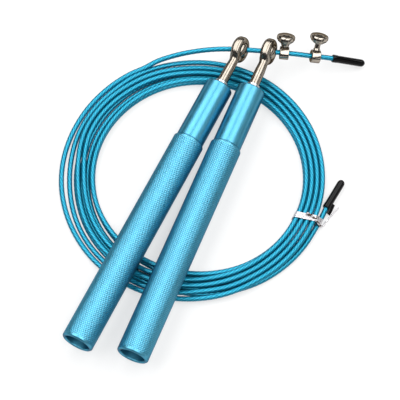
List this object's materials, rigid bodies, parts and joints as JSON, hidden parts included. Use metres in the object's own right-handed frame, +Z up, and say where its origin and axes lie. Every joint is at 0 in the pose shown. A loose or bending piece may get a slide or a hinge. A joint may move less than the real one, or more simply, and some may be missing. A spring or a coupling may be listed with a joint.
{
  "type": "jump rope",
  "caption": "Speed jump rope put away: two aluminium handles with swivel rod-end heads on one end of a coated steel cable, the rest wound in a flat tied coil, with thumb-screw length clamps.",
  "frame": {"origin": "centre of the box around the two handles with their swivel heads, without the rope and what is on it", "axes": "+Y along the handles' length, away from their rear ends; +X to the right of the handles, where the length clamps are; +Z up from the floor that the coil lies on"},
  "size_m": [0.1461, 0.1658, 0.0221],
  "materials": {
    "anodised_blue": "bright blue anodised, satin on the knurled grip and polished at the nose",
    "nickel_steel": "nickel plated, polished, slightly warm",
    "bearing_steel": "ground bearing steel",
    "brass": "turned brass",
    "cable_coat": "translucent blue PVC over twisted steel wire",
    "black_cap": "soft black PVC, glossy",
    "foil": "silver metallised ribbon over a thin wire"
  },
  "bodies": {
    "rope": {"cable_tail": "cable_coat", "cable_lead": "cable_coat", "cable_coil": "cable_coat", "cable_end": "cable_coat", "end_cap_a": "black_cap", "end_cap_b": "black_cap", "twist_tie": "foil"},
    "swivel_left": {"swivel_ball_left": "nickel_steel"},
    "spindle_left": {"spindle_eye_left": "nickel_steel", "spacer_collar_left": "nickel_steel", "bearing_sleeve_left": "brass", "front_inner_race_left": "bearing_steel", "rear_inner_race_left": "bearing_steel", "lock_washer_left": "nickel_steel", "lock_nut_left": "nickel_steel"},
    "front_cage_left": {"front_ball_cage_left": "bearing_steel"},
    "rear_cage_left": {"rear_ball_cage_left": "bearing_steel"},
    "handle_left": {"grip_tube_left": "anodised_blue", "front_outer_race_left": "bearing_steel", "rear_outer_race_left": "bearing_steel"},
    "swivel_right": {"swivel_ball_right": "nickel_steel"},
    "spindle_right": {"spindle_eye_right": "nickel_steel", "spacer_collar_right": "nickel_steel", "bearing_sleeve_right": "brass", "front_inner_race_right": "bearing_steel", "rear_inner_race_right": "bearing_steel", "lock_washer_right": "nickel_steel", "lock_nut_right": "nickel_steel"},
    "front_cage_right": {"front_ball_cage_right": "bearing_steel"},
    "rear_cage_right": {"rear_ball_cage_right": "bearing_steel"},
    "handle_right": {"grip_tube_right": "anodised_blue", "front_outer_race_right": "bearing_steel", "rear_outer_race_right": "bearing_steel"},
    "clamp_inner": {"clamp_collar_inner": "nickel_steel"},
    "screw_inner": {"thumb_screw_inner": "nickel_steel"},
    "clamp_outer": {"clamp_collar_outer": "nickel_steel"},
    "screw_outer": {"thumb_screw_outer": "nickel_steel"}
  },
  "joints": [
    {"name": "lift_left", "type": "hinge", "parent": "rope", "child": "swivel_left", "pos_m": [0.0315, 0.0757, 0], "axis": [-0.997, 0.0756, 0.0189], "range_deg": [0, 180]},
    {"name": "swing_left", "type": "hinge", "parent": "swivel_left", "child": "spindle_left", "pos_m": [0.0315, 0.0757, 0], "axis": [0, 0, 1], "range_deg": [-15, 0]},
    {"name": "spin_left", "type": "hinge", "parent": "spindle_left", "child": "handle_left", "pos_m": [0.0315, 0.0757, 0], "axis": [0.4462, 0.8949, 0], "continuous": true},
    {"name": "front_cage_roll_left", "type": "hinge", "parent": "spindle_left", "child": "front_cage_left", "pos_m": [0.0315, 0.0757, 0], "axis": [0.4462, 0.8949, 0], "continuous": true},
    {"name": "rear_cage_roll_left", "type": "hinge", "parent": "spindle_left", "child": "rear_cage_left", "pos_m": [0.0315, 0.0757, 0], "axis": [0.4462, 0.8949, 0], "continuous": true},
    {"name": "lift_right", "type": "hinge", "parent": "rope", "child": "swivel_right", "pos_m": [0.0452, 0.0746, 0], "axis": [-0.997, 0.0756, 0.0189], "range_deg": [0, 180]},
    {"name": "swing_right", "type": "hinge", "parent": "swivel_right", "child": "spindle_right", "pos_m": [0.0452, 0.0746, 0], "axis": [0, 0, 1], "range_deg": [0, 40]},
    {"name": "spin_right", "type": "hinge", "parent": "spindle_right", "child": "handle_right", "pos_m": [0.0452, 0.0746, 0], "axis": [0.3795, 0.9252, 0], "continuous": true},
    {"name": "front_cage_roll_right", "type": "hinge", "parent": "spindle_right", "child": "front_cage_right", "pos_m": [0.0452, 0.0746, 0], "axis": [0.3795, 0.9252, 0], "continuous": true},
    {"name": "rear_cage_roll_right", "type": "hinge", "parent": "spindle_right", "child": "rear_cage_right", "pos_m": [0.0452, 0.0746, 0], "axis": [0.3795, 0.9252, 0], "continuous": true},
    {"name": "clamp_slide_inner", "type": "slide", "parent": "rope", "child": "clamp_inner", "axis": [0.9949, -0.0544, -0.0855], "range_m": [0, 0.0025]},
    {"name": "screw_turn_inner", "type": "hinge", "parent": "clamp_inner", "child": "screw_inner", "pos_m": [0.0526, 0.0741, -0.0004], "axis": [0.1003, 0.6516, 0.7519], "range_deg": [0, 540]},
    {"name": "clamp_slide_outer", "type": "slide", "parent": "rope", "child": "clamp_outer", "axis": [0.9694, 0.0117, -0.2453], "range_m": [0, 0.004]},
    {"name": "screw_turn_outer", "type": "hinge", "parent": "clamp_outer", "child": "screw_outer", "pos_m": [0.0676, 0.0738, -0.0033], "axis": [0.1772, 0.6582, 0.7317], "range_deg": [0, 540]}
  ],
  "couplings": [
    {"joint": "front_cage_roll_left", "follows": "spin_left", "ratio": 0.6},
    {"joint": "rear_cage_roll_left", "follows": "spin_left", "ratio": 0.6},
    {"joint": "front_cage_roll_right", "follows": "spin_right", "ratio": 0.6},
    {"joint": "rear_cage_roll_right", "follows": "spin_right", "ratio": 0.6}
  ]
}
